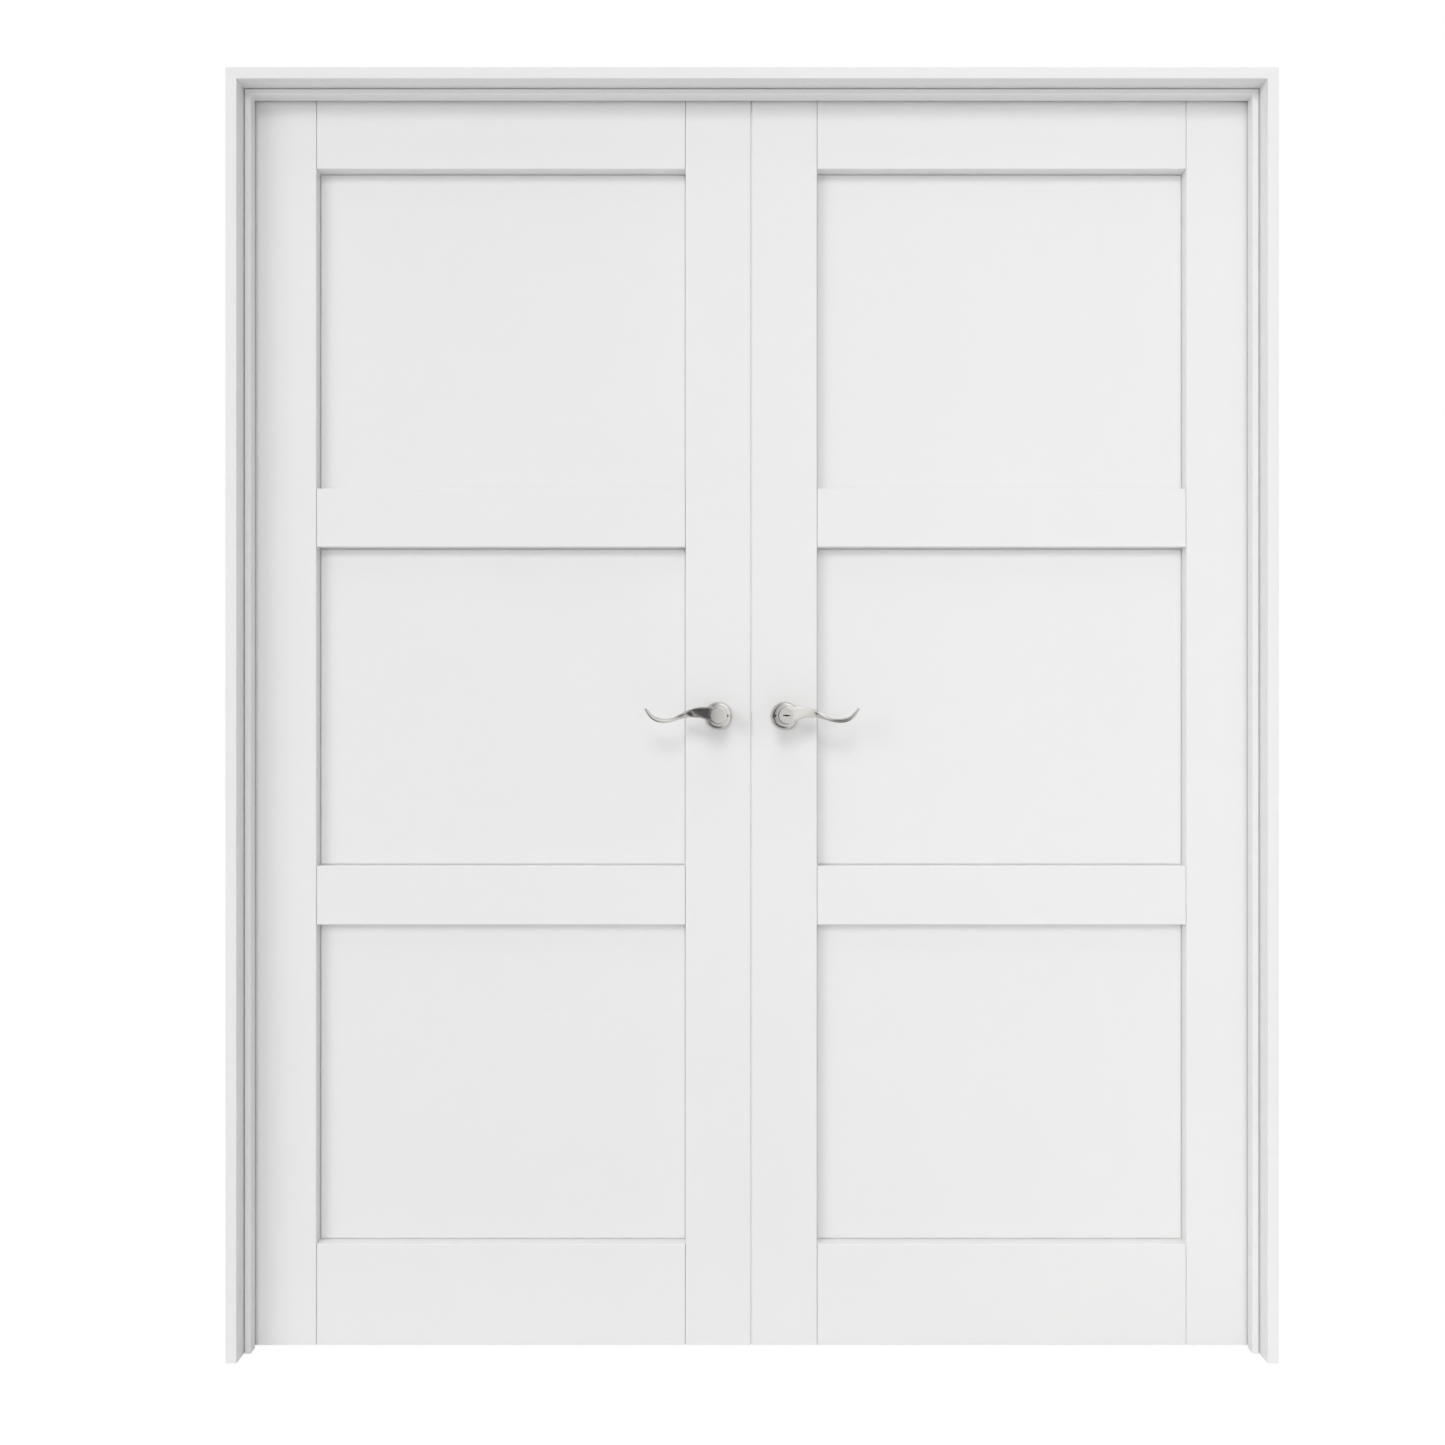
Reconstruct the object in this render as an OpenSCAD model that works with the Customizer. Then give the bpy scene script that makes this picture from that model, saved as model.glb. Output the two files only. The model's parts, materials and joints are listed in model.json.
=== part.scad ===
// A pair of three-panel doors hung in their wooden frame, with lever handles, a latch and flush bolts.
// X runs across the opening, Y from the stop side to the hinge side, and Z up from the floor.
// The origin is on the floor, midway between the jambs, in the middle of the closed leaves' thickness.
// The right-hand side is drawn, and what repeats on the left-hand side is its mirror image.

/* [Leaf] */
// Width of each leaf
leaf_w = 813; // [710:1:915]
// Height of each leaf
leaf_h = 2032; // [1950:1:2290]
// Thickness of each leaf
leaf_t = 44.5; // [42:0.5:54]
// Width of the stiles
stile_w = 105.5; // [100:0.5:130]
// Height of the top rail
top_rail_h = 116; // [90:1:160]
// Height of each of the two middle rails
mid_rail_h = 95; // [80:1:140]
// Height of the bottom rail
bottom_rail_h = 164; // [120:1:260]
// Thickness of the flat panels
panel_t = 10.5; // [8:0.5:14]
// Depth of the grooves that hold the panels
groove_d = 12; // [9:1:16]
// Width of the quirk, the narrow channel round the field of a panel
quirk_w = 2.2; // [1:0.1:3]
// Depth of that channel in each face of the panel
quirk_d = 2.5; // [1:0.1:3]
// Width of the steep bevel at a rail's ends, which leaves a seam beside the stiles
seam_w = 1.2; // [0.4:0.1:2]
// Depth of that bevel
seam_d = 3.5; // [0.8:0.1:5]
// Width of the eased arrises on the woodwork
arris = 0.8; // [0.4:0.1:1.5]
// Radius of the dowels between rails and stiles
dowel_r = 6; // [5:0.5:8]
// Length of the dowels
dowel_len = 110; // [80:1:140]

/* [Frame] */
// Thickness of the jambs
jamb_t = 17.5; // [16.5:0.5:25]
// Depth of the jambs, from the front edge to the back edge
jamb_d = 90.5; // [85:0.5:160]
// How far the stops stand into the opening
stop_t = 11; // [8:0.5:16]
// Width of the eased arrises on the stops
stop_arris = 1.5; // [0.4:0.1:2.5]
// Width of the stops
stop_w = 17.5; // [15:0.5:35]
// Width of the quirk between the front of a stop and its jamb
stop_quirk_w = 2; // [1:0.1:3]
// Depth of that quirk
stop_quirk_d = 4; // [1:0.1:6]
// Depth of the rebates in the side jambs that take the head jamb
rebate_d = 6; // [4:0.5:10]

/* [Gaps] */
// Gap between each leaf and its side jamb
side_gap = 3; // [2.5:0.1:4]
// Gap above the leaves
head_gap = 3; // [2:0.5:5]
// Gap below the leaves
floor_gap = 2; // [2:0.5:20]
// Gap between the two leaves
meeting_gap = 3; // [2.5:0.1:4]
// Gap between the leaves and the stops
stop_gap = 3.5; // [1:0.1:4]

/* [Hinges] */
// Height of a hinge
hinge_h = 89; // [76:1:102]
// Width of a hinge leaf in its recess
hinge_w = 30; // [26:1:36]
// Thickness of a hinge leaf
hinge_t = 2.5; // [2:0.1:3]
// Radius of a hinge leaf's outer corners
hinge_corner_r = 6.5; // [4:0.5:12]
// Radius of the hinge knuckles
knuckle_r = 6; // [5.5:0.1:7]
// Radius of the hinge pins
pin_r = 3; // [2.5:0.1:3.5]
// Distance from the top of a leaf to its top hinge
hinge_top = 178; // [120:1:250]
// Distance from the bottom of a leaf to its bottom hinge
hinge_bottom = 254; // [150:1:300]

/* [Levers] */
// Height of the levers above the floor
lever_z = 1027; // [900:1:1100]
// Distance from a leaf's meeting edge to its lever's axis
backset = 52.5; // [48:0.5:60]
// Radius of the roses
rose_r = 22.5; // [22:0.5:28]
// Thickness of the roses
rose_t = 9; // [8:0.5:12]
// Radius of a lever's neck
neck_r = 10; // [9:0.5:11]
// Radius of a lever's hub
hub_r = 14.6; // [13:0.1:16]
// Length of a lever's hub along its axis
hub_len = 20; // [17:0.5:24]
// Distance from the leaf's face to the face of the hub
lever_out = 54; // [50:0.5:62]
// Reach of a lever from its axis to its tip
lever_len = 115; // [100:1:130]
// How far the blade dips towards the leaf after it leaves the hub
blade_dip = 12; // [0:0.5:14]
// Width of the square spindle
spindle_w = 8; // [7:0.5:9]

/* [Lock] */
// Radius of the key cylinder
key_r = 8.7; // [8:0.1:10]
// Radius of the turning plug in the key cylinder
plug_r = 6.6; // [6:0.1:7.5]
// Depth of the key cylinder in its hub
key_d = 14; // [12:0.5:15]
// Radius of the turn button
button_r = 7; // [6:0.1:8]
// Height of the turn button's grip, which stands in a dish in its hub
button_grip = 3.6; // [2:0.1:5]
// Radius of the mouth of that dish
dish_r = 11; // [9.5:0.1:11.5]
// Radius of the latch case
case_r = 11; // [10.5:0.1:12]
// Height of the latch face plate and of the strike plate
latch_plate_h = 57; // [50:1:65]
// Width of the latch face plate and of the strike plate
latch_plate_w = 25; // [24:0.5:28]
// Thickness of the latch face plate and of the strike plate
latch_plate_t = 2.5; // [2:0.1:3]
// Height of the latch bolt
latch_h = 14; // [12:0.5:14]
// Thickness of the latch bolt
latch_w = 12; // [10:0.5:12]
// How far the latch bolt stands out of its leaf
latch_out = 12; // [10:0.5:13]

/* [Flush bolts] */
// Height of a flush bolt's face plate
flush_h = 150; // [130:1:180]
// Width of a flush bolt's face plate
flush_w = 19; // [18:0.5:22]
// Thickness of a flush bolt's face plate
flush_t = 2.5; // [2:0.1:3]
// Distance from the end of the leaf to the middle of the face plate
flush_from_end = 230; // [180:1:320]
// Radius of a flush bolt's rod
rod_r = 4; // [3.5:0.1:5]
// Distance from the meeting edge to the rod's axis
rod_inset = 21; // [20.5:0.5:26]
// Travel of a flush bolt
flush_travel = 14; // [10:0.5:15]

/* [Hidden] */
$fn = 64;

// Colours of the paint, the nickel, the bare steel and the beech
paint = "#f2f2f0";
nickel = "#b9b6b0";
steel = "#8d8f92";
beech = "#cfae82";

// Overrun of every cut past the face that it opens
over = 1;

// Clearances
fit = 0.15;
run_fit = 0.05;
swing_fit = 0.3;
slide_fit = 0.4;

// Places of the leaves, the opening and the stops
leaf_x0 = meeting_gap / 2;
leaf_x1 = leaf_x0 + leaf_w;
leaf_z0 = floor_gap;
leaf_z1 = floor_gap + leaf_h;
face_y = leaf_t / 2;
jamb_x = leaf_x1 + side_gap;
open_h = leaf_z1 + head_gap;
jamb_y0 = face_y - jamb_d;
stop_y1 = -face_y - stop_gap;
stop_y0 = stop_y1 - stop_w;

// Section of a stop, from its face in the opening to the jamb, and from its front to its back
stop_points = [[stop_arris, 0], [stop_t - stop_quirk_w, 0], [stop_t - stop_quirk_w, stop_quirk_d],
    [stop_t, stop_quirk_d], [stop_t, stop_w], [stop_arris, stop_w], [0, stop_w - stop_arris],
    [0, stop_arris]];

// Rails from the bottom up, the panel openings between them, and the joints with the stiles
rail_hs = [bottom_rail_h, mid_rail_h, mid_rail_h, top_rail_h];
last_rail = len(rail_hs) - 1;
rails_h = bottom_rail_h + 2 * mid_rail_h + top_rail_h;
panel_open_h = (leaf_h - rails_h) / last_rail;
rail_x0 = leaf_x0 + stile_w;
rail_x1 = leaf_x1 - stile_w;
rail_len = rail_x1 - rail_x0;
tongue_t = panel_t - 2 * quirk_d;
groove_w = tongue_t + 2 * fit;
panel_float = 2;
panel_in = groove_d - panel_float;
tongue_in = groove_d - fit;
dowel_end_gap = 2;
dowel_shares = [0.25, 0.75];
function rail_z(i) = i == 0 ? leaf_z0 : rail_z(i - 1) + rail_hs[i - 1] + panel_open_h;
function tongue_z(i) = rail_z(i) + (i > 0 ? groove_d : 0);
function tongue_h(i) = rail_hs[i] - (i > 0 ? groove_d : 0) - (i < last_rail ? groove_d : 0);

// Hinge axis, the heights of the hinges and their knuckles
knuckle_gap = 0.3;
knuckle_count = 5;
knuckle_pitch = hinge_h / knuckle_count;
knuckle_off = 1.2;
pin_out = knuckle_r + knuckle_off;
pin_x = jamb_x - side_gap / 2;
pin_y = face_y + pin_out;
pin_head_r = knuckle_r - run_fit;
pin_head_h = 3;
pin_tip = 1;
hinge_low_z = leaf_z0 + hinge_bottom + hinge_h / 2;
hinge_high_z = leaf_z1 - hinge_top - hinge_h / 2;
hinge_zs = [hinge_low_z, (hinge_low_z + hinge_high_z) / 2, hinge_high_z];
hinge_screw_shares = [[0.38, 0.36], [0.68, 0], [0.38, -0.36]];

// Countersunk screws
screw_head_r = 4;
screw_head_h = 2.2;
screw_r = 2;
screw_len = 15;
screw_tip = 3;
corner_screw_len = 48;
corner_screw_shares = [0.2, 0.5, 0.8];

// Lever sets
lever_x = leaf_x0 + backset;
neck_gap = 0.3;
rose_bore_r = neck_r + swing_fit;
rose_rim = 3;
rose_collar = 5;
rose_crown_r = neck_r + rose_collar;
hub_z = lever_out - hub_len;
hub_edge = 2.8;
neck_flare = hub_r - neck_r;
release_r = 1.6;
release_x = 15.2;
release_d = 5;
rose_bolt_r = 2;
rose_bolt_off = 18;
rose_bolt_head_r = 3.2;
rose_bolt_head_h = 2.2;
rose_bolt_seat = 3.5;
rose_bolt_bite = 5;
cross_bore_r = 13.5;
spindle_in = 38;

// Blade of a lever: a ribbon that leaves the hub on edge, narrows, and turns flat along its outer wave.
// Reach and rise are shares of the lever's reach, width and thickness of the hub's diameter, twist of a
// quarter turn and dip of the blade's dip.
blade_reach_shares = [0, 0.07, 0.122, 0.174, 0.252, 0.33, 0.417, 0.496, 0.574, 0.652, 0.73, 0.8, 0.861,
    0.913, 0.957, 0.983, 1];
blade_rise_shares = [0.005, 0.012, 0.023, 0.034, 0.043, 0.037, 0.023, -0.005, -0.037, -0.063, -0.072,
    -0.067, -0.049, -0.016, 0.035, 0.07, 0.096];
blade_width_shares = [0.89, 0.86, 0.785, 0.685, 0.59, 0.51, 0.4, 0.37, 0.4, 0.44, 0.47, 0.47, 0.45, 0.42,
    0.37, 0.32, 0.245];
blade_thick_shares = [0.32, 0.32, 0.31, 0.29, 0.265, 0.24, 0.215, 0.2, 0.195, 0.2, 0.207, 0.2, 0.185, 0.16,
    0.13, 0.105, 0.07];
blade_twist_shares = [0, 0, 0, 0, 0, 0.08, 0.4, 0.75, 0.95, 1.02, 1.05, 1.08, 1.1, 1.1, 1.1, 1.1, 1.1];
blade_dip_shares = [0, 0, 0.017, 0.13, 0.35, 0.57, 0.8, 0.94, 1, 0.96, 0.83, 0.66, 0.48, 0.31, 0.15,
    0.05, -0.02];
blade_sink = 0.2;
blade_root_z = lever_out - blade_sink - hub_r * blade_thick_shares[0];
blade_rings = 44;
blade_sides = 18;
blade_squareness = 5;
blade_step_share = 0.004;

// Key cylinder and turn button
key_sink = 0.4;
key_floor = 2;
keyway_d = 9;
keyway_shares = [[-0.82, 0.2], [-0.82, -0.12], [-0.3, -0.12], [-0.1, -0.3], [0.1, -0.12], [0.3, -0.3],
    [0.5, -0.12], [0.82, -0.12], [0.82, 0.12], [0.1, 0.12], [-0.1, 0.3], [-0.3, 0.12]];
button_d = 10;
button_grip_w = 3.4;

// Latch along X at the height of the levers, and its strike in the other leaf
plate_corner_r = 5;
plate_screw_share = 0.36;
case_wall = 1.4;
case_past = 14;
case_len = backset + case_past;
case_bore_r = case_r - case_wall;
follower_r = 7;
follower_w = 15;
latch_body = 24;
latch_stem_r = 3;
latch_travel = 11;
latch_nose_share = 0.25;
latch_room = 2;
latch_stem = backset - follower_r - latch_travel - latch_room - latch_body;
strike_pocket_d = latch_out - meeting_gap + latch_room;

// Flush bolts in the left leaf
flush_corner_r = 4;
flush_screw_in = 9;
flush_pocket_h = flush_h - 4 * flush_screw_in;
flush_block_w = 10;
flush_block_h = 26;
flush_block_d = rod_inset + rod_r - flush_t;
thumb_w = 7;
thumb_h = 14;
rod_sink = 1;
head_strike_l = 46;
head_strike_w = 22;
head_strike_t = 2;
head_strike_screw_share = 0.34;
head_bore_d = flush_travel - head_gap + rod_sink;

// Placing
module left() {
    mirror([1, 0, 0]) children();
}

module on_hinges() {
    for (z = hinge_zs)
        translate([pin_x, pin_y, z]) children();
}

module on_front() {
    translate([lever_x, -face_y, lever_z]) rotate([90, 0, 0]) children();
}

module on_back() {
    mirror([0, 1, 0]) on_front() children();
}

module on_latch_axis() {
    translate([leaf_x0, 0, lever_z]) children();
}

module on_top_bolt() {
    translate([leaf_x0, 0, leaf_z1 - flush_from_end]) children();
}

module on_bottom_bolt() {
    translate([leaf_x0, 0, leaf_z0 + flush_from_end]) mirror([0, 0, 1]) children();
}

// Rectangle from the origin with its corners cut off, by a along its width and by b along its height
module eased_rect(w, h, a, b) {
    polygon([[a, 0], [w - a, 0], [w, b], [w, h - b], [w - a, h], [a, h], [0, h - b], [0, b]]);
}

// Rectangle about the origin with round corners
module rounded_rect(w, h, r) {
    square([w - 2 * r, h], center = true);
    square([w, h - 2 * r], center = true);
    for (x = [r - w / 2, w / 2 - r], y = [r - h / 2, h / 2 - r])
        translate([x, y]) circle(r);
}

// A flat plate on the meeting edge, w along Y, h along Z and t into the leaf
module edge_plate(w, h, r, t) {
    rotate([90, 0, 90]) linear_extrude(t) rounded_rect(w, h, r);
}

// Countersunk screw from the origin along Z
module wood_screw(length) {
    rotate_extrude() polygon([[0, 0], [screw_head_r, 0], [screw_r, screw_head_h],
        [screw_r, length - screw_tip], [0, length]]);
}

module wood_screw_hole(length) {
    rotate_extrude() polygon([[0, -over], [screw_head_r + fit, -over], [screw_head_r + fit, 0],
        [screw_r + fit, screw_head_h], [screw_r + fit, length + fit], [0, length + fit]]);
}

// Frame
module side_jamb_blank() {
    linear_extrude(open_h + jamb_t)
        polygon([[jamb_x + arris, jamb_y0], [jamb_x + jamb_t, jamb_y0], [jamb_x + jamb_t, face_y],
            [jamb_x + arris, face_y], [jamb_x, face_y - arris], [jamb_x, jamb_y0 + arris]]);
}

module on_corner_screws() {
    for (share = corner_screw_shares)
        translate([jamb_x + jamb_t, jamb_y0 + share * jamb_d, open_h + jamb_t / 2])
            rotate([0, -90, 0]) children();
}

module side_jamb() {
    color(paint) difference() {
        side_jamb_blank();
        translate([jamb_x - over, jamb_y0 - over, open_h])
            cube([rebate_d + over, jamb_d + 2 * over, jamb_t + over]);
        on_hinges() hinge_recess();
        on_hinges() on_hinge_screws() wood_screw_hole(screw_len);
        on_corner_screws() wood_screw_hole(corner_screw_len);
    }
}

module head_jamb() {
    half = jamb_x + rebate_d;
    color(paint) difference() {
        translate([-half, jamb_y0, open_h]) cube([2 * half, jamb_d, jamb_t]);
        for (y = [jamb_y0, face_y])
            translate([0, y, open_h]) rotate([45, 0, 0])
                cube([2 * jamb_x, arris * sqrt(2), arris * sqrt(2)], center = true);
        on_corner_screws() wood_screw_hole(corner_screw_len);
        left() on_corner_screws() wood_screw_hole(corner_screw_len);
        left() on_head_strike() head_strike_plate(fit, head_strike_t + over);
        left() on_head_strike() cylinder(r = rod_r + 2 * slide_fit, h = head_bore_d);
        left() on_head_strike() on_head_strike_screws() wood_screw_hole(screw_len);
    }
}

module corner_screws() {
    color(steel) {
        on_corner_screws() wood_screw(corner_screw_len);
        left() on_corner_screws() wood_screw(corner_screw_len);
    }
}

// A stop, cut to corners in X and Z that leave a mitre where the side stops meet the head stop
module mitred(corners) {
    intersection() {
        children();
        translate([0, stop_y1 + over, 0]) rotate([90, 0, 0])
            linear_extrude(stop_w + 2 * over) polygon(corners);
    }
}

module side_stop() {
    color(paint) mitred([[jamb_x - stop_t - over, -over], [jamb_x + over, -over],
        [jamb_x + over, open_h + over], [jamb_x - stop_t - over, open_h - stop_t - over]])
        translate([jamb_x - stop_t, stop_y0, 0]) linear_extrude(open_h) polygon(stop_points);
}

module head_stop() {
    color(paint) mitred([[jamb_x + over, open_h + over], [-jamb_x - over, open_h + over],
        [stop_t + over - jamb_x, open_h - stop_t - over], [jamb_x - stop_t - over, open_h - stop_t - over]])
        translate([-jamb_x, stop_y0, open_h - stop_t]) rotate([90, 0, 90])
            linear_extrude(2 * jamb_x) polygon([for (p = stop_points) [p[1], p[0]]]);
}

// Plate in the underside of the head jamb, over the top flush bolt
module on_head_strike() {
    translate([leaf_x0 + rod_inset, 0, open_h]) children();
}

module on_head_strike_screws() {
    for (side = [-1, 1])
        translate([side * head_strike_screw_share * head_strike_l, 0, 0]) children();
}

module head_strike_plate(grow, t) {
    translate([0, 0, head_strike_t - t]) linear_extrude(t)
        rounded_rect(head_strike_l + 2 * grow, head_strike_w + 2 * grow, flush_corner_r + grow);
}

module head_strike() {
    color(nickel) left() on_head_strike() difference() {
        head_strike_plate(0, head_strike_t);
        translate([0, 0, -over])
            cylinder(r = rod_r + 2 * slide_fit, h = head_strike_t + 2 * over);
        on_head_strike_screws() wood_screw_hole(screw_len);
    }
}

module frame_screws() {
    color(nickel) {
        on_hinges() on_hinge_screws() wood_screw(screw_len);
        left() on_hinges() on_hinge_screws() wood_screw(screw_len);
        left() on_head_strike() on_head_strike_screws() wood_screw(screw_len);
    }
}

// Butt hinges about their pin, with the jamb's half towards +X and the leaf's half its mirror image
module hinge_outline(grow) {
    l = pin_out + hinge_w + grow;
    h = hinge_h + 2 * grow;
    r = hinge_corner_r + grow;
    translate([0, -h / 2]) square([l - r, h]);
    translate([0, r - h / 2]) square([l, h - 2 * r]);
    for (y = [r - h / 2, h / 2 - r])
        translate([l - r, y]) circle(r);
}

module hinge_recess() {
    translate([side_gap / 2 + hinge_t, 0, 0]) rotate([90, 0, -90])
        linear_extrude(hinge_t + over) hinge_outline(fit);
}

module on_hinge_screws() {
    for (share = hinge_screw_shares)
        translate([side_gap / 2, -pin_out - share[0] * hinge_w, share[1] * hinge_h])
            rotate([0, 90, 0]) children();
}

module knuckles(first, r, gap) {
    for (i = [first:2:knuckle_count - 1])
        translate([0, 0, i * knuckle_pitch - hinge_h / 2 + gap / 2])
            cylinder(r = r, h = knuckle_pitch - gap);
}

module hinge_half(first) {
    color(nickel) difference() {
        union() {
            translate([side_gap / 2 + hinge_t, 0, 0]) rotate([90, 0, -90])
                linear_extrude(hinge_t) hinge_outline(0);
            knuckles(first, knuckle_r, knuckle_gap);
        }
        knuckles(1 - first, knuckle_r + knuckle_gap, -knuckle_gap);
        cylinder(r = pin_r + run_fit, h = hinge_h + 2 * over, center = true);
        on_hinge_screws() wood_screw_hole(screw_len);
    }
}

module hinge_pin() {
    seat = hinge_h / 2;
    crown = seat + pin_head_h;
    color(nickel) rotate_extrude()
        polygon([[0, -seat - pin_tip], [pin_r - pin_tip, -seat - pin_tip], [pin_r, -seat], [pin_r, seat],
            [pin_head_r, seat], [pin_head_r, (seat + crown) / 2], [pin_r, crown], [0, crown]]);
}

module jamb_hinges() {
    on_hinges() hinge_half(0);
}

module leaf_hinges() {
    on_hinges() mirror([1, 0, 0]) hinge_half(1);
}

module hinge_pins() {
    on_hinges() hinge_pin();
}

// Woodwork of a leaf
// Section of a groove that opens towards +Y with its mouth at the origin
module groove_profile() {
    translate([-groove_w / 2, -groove_d]) square([groove_w, groove_d + over]);
}

module stile_profile() {
    difference() {
        translate([0, -face_y]) eased_rect(stile_w, leaf_t, arris, arris);
        translate([stile_w, 0]) rotate(-90) groove_profile();
    }
}

// A groove along a rail in its upper edge, with the edge at z = 0
module rail_groove() {
    translate([rail_x0 - over, 0, 0]) rotate([90, 0, 90])
        linear_extrude(rail_len + 2 * over) groove_profile();
}

// Dowels of rail i, or their holes, at both of its ends
module dowel_row(i, r, length) {
    for (x = [rail_x0, rail_x1], share = dowel_shares)
        translate([x, 0, tongue_z(i) + share * tongue_h(i)])
            rotate([0, 90, 0]) cylinder(r = r, h = length, center = true);
}

module dowel_holes(i) {
    dowel_row(i, dowel_r + fit, dowel_len + 2 * dowel_end_gap);
}

module dowels() {
    color(beech) for (i = [0:last_rail]) dowel_row(i, dowel_r, dowel_len);
}

module hinge_stile() {
    color(paint) difference() {
        translate([leaf_x1, 0, leaf_z0]) mirror([1, 0, 0]) linear_extrude(leaf_h) stile_profile();
        for (i = [0:last_rail]) dowel_holes(i);
        on_hinges() mirror([1, 0, 0]) {
            hinge_recess();
            on_hinge_screws() wood_screw_hole(screw_len);
        }
    }
}

module meeting_stile_blank() {
    difference() {
        translate([leaf_x0, 0, leaf_z0]) linear_extrude(leaf_h) stile_profile();
        for (i = [0:last_rail]) dowel_holes(i);
        rose_bolt_holes(leaf_t + 2 * over, rose_bolt_r + slide_fit);
    }
}

module rail(i) {
    z = rail_z(i);
    h = rail_hs[i];
    color(paint) difference() {
        union() {
            intersection() {
                translate([rail_x0, -face_y, z]) rotate([90, 0, 90])
                    linear_extrude(rail_len) eased_rect(leaf_t, h, arris, arris);
                translate([rail_x0, -face_y, z])
                    linear_extrude(h) eased_rect(rail_len, leaf_t, seam_w, seam_d);
            }
            translate([rail_x0 - tongue_in, -tongue_t / 2, tongue_z(i)])
                cube([rail_len + 2 * tongue_in, tongue_t, tongue_h(i)]);
        }
        if (i > 0) translate([0, 0, z]) mirror([0, 0, 1]) rail_groove();
        if (i < last_rail) translate([0, 0, z + h]) rail_groove();
        dowel_holes(i);
    }
}

// Panel that stands on rail i: a thin board held in the grooves, with a thicker field on both faces
module panel(i) {
    z = rail_z(i) + rail_hs[i];
    color(paint) {
        translate([rail_x0 - panel_in, -tongue_t / 2, z - panel_in])
            cube([rail_len + 2 * panel_in, tongue_t, panel_open_h + 2 * panel_in]);
        translate([rail_x0 + quirk_w, -panel_t / 2, z + quirk_w])
            cube([rail_len - 2 * quirk_w, panel_t, panel_open_h - 2 * quirk_w]);
    }
}

// Lever sets, drawn with the leaf's face at z = 0, the axis along Z and the blade towards +X
module rose_profile() {
    polygon(concat([[rose_bore_r, 0], [rose_r, 0]],
        [for (a = [0:15:90]) [rose_crown_r + (rose_r - rose_crown_r) * cos(a),
            rose_rim + (rose_t - rose_rim) * sin(a)]],
        [[rose_bore_r, rose_t]]));
}

module on_rose_bolts() {
    for (side = [-1, 1])
        translate([0, side * rose_bolt_off, 0]) children();
}

// Holes through the leaf for the bolts that clamp its roses
module rose_bolt_holes(length, r) {
    on_front() on_rose_bolts() translate([0, 0, over - length]) cylinder(r = r, h = length);
}

module front_rose() {
    color(nickel) difference() {
        rotate_extrude() rose_profile();
        translate([-release_x, 0, rose_t - release_d]) cylinder(r = release_r, h = release_d);
        on_rose_bolts() translate([0, 0, -over])
            cylinder(r = rose_bolt_r + fit, h = rose_bolt_bite + fit + over);
    }
}

module back_rose() {
    color(nickel) difference() {
        rotate_extrude() rose_profile();
        on_rose_bolts() translate([0, 0, -over])
            cylinder(r = rose_bolt_r + fit, h = rose_t + 2 * over);
        on_rose_bolts() translate([0, 0, rose_bolt_seat])
            cylinder(r = rose_bolt_head_r + fit, h = rose_t);
    }
}

// Bolts from the back rose into the front rose, head towards the back
module rose_bolts() {
    shank = leaf_t + rose_bolt_bite + rose_bolt_seat;
    color(steel) on_back() on_rose_bolts() {
        translate([0, 0, rose_bolt_seat - shank]) cylinder(r = rose_bolt_r, h = shank);
        translate([0, 0, rose_bolt_seat]) cylinder(r = rose_bolt_head_r, h = rose_bolt_head_h);
    }
}

// Value of a table of shares at s from 0 to 1, on a smooth curve through its entries
function smooth(v, s) = let (n = len(v) - 1, i = min(floor(s * n), n - 1), f = s * n - i,
    a = v[max(i - 1, 0)], b = v[i], c = v[i + 1], d = v[min(i + 2, n)])
    b + f * ((c - a) + f * ((2 * a - 5 * b + 4 * c - d) + f * (3 * (b - c) + d - a))) / 2;

function blade_point(s) = [lever_len * smooth(blade_reach_shares, s),
    lever_len * smooth(blade_rise_shares, s),
    blade_root_z - blade_dip * smooth(blade_dip_shares, s)];

// Superellipse: a rounded rectangle of unit half width
function squared(c) = sign(c) * pow(abs(c), 2 / blade_squareness);

// One ring of the blade: its width turns from upright to pointing out of the door
function blade_ring(s) = let (p = blade_point(s),
    way = blade_point(min(s + blade_step_share, 1)) - blade_point(max(s - blade_step_share, 0)),
    run = norm([way[0], way[1]]), up = [-way[1] / run, way[0] / run, 0], out = [0, 0, 1],
    turn = 90 * smooth(blade_twist_shares, s),
    wide = (up * cos(turn) + out * sin(turn)) * hub_r * smooth(blade_width_shares, s),
    thick = (out * cos(turn) - up * sin(turn)) * hub_r * smooth(blade_thick_shares, s))
    [for (k = [0:blade_sides - 1]) let (a = 360 * (k + 0.5) / blade_sides)
        p + wide * squared(cos(a)) + thick * squared(sin(a))];

module blade() {
    n = blade_sides;
    last = blade_rings - 1;
    rings = [for (k = [0:last]) each blade_ring(k / last)];
    walls = [for (k = [0:last - 1], j = [0:n - 1]) let (a = k * n + j, b = k * n + (j + 1) % n)
        each [[a, b + n, b], [a, a + n, b + n]]];
    ends = [for (j = [1:n - 2]) each [[0, j, j + 1], [last * n, last * n + j + 1, last * n + j]]];
    polyhedron(rings, concat(walls, ends));
}

module lever_blank() {
    union() {
        rotate_extrude() polygon(concat(
            [[0, neck_gap], [neck_r, neck_gap], [neck_r, hub_z - neck_flare], [hub_r, hub_z]],
            [for (a = [0:15:90])
                [hub_r - hub_edge * (1 - cos(a)), lever_out - hub_edge * (1 - sin(a))]],
            [[0, lever_out]]));
        blade();
    }
}

module spindle_hole() {
    w = spindle_w + 2 * fit;
    translate([-w / 2, -w / 2, -over]) cube([w, w, spindle_in + fit + over]);
}

module fixed_lever() {
    color(nickel) lever_blank();
}

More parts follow.
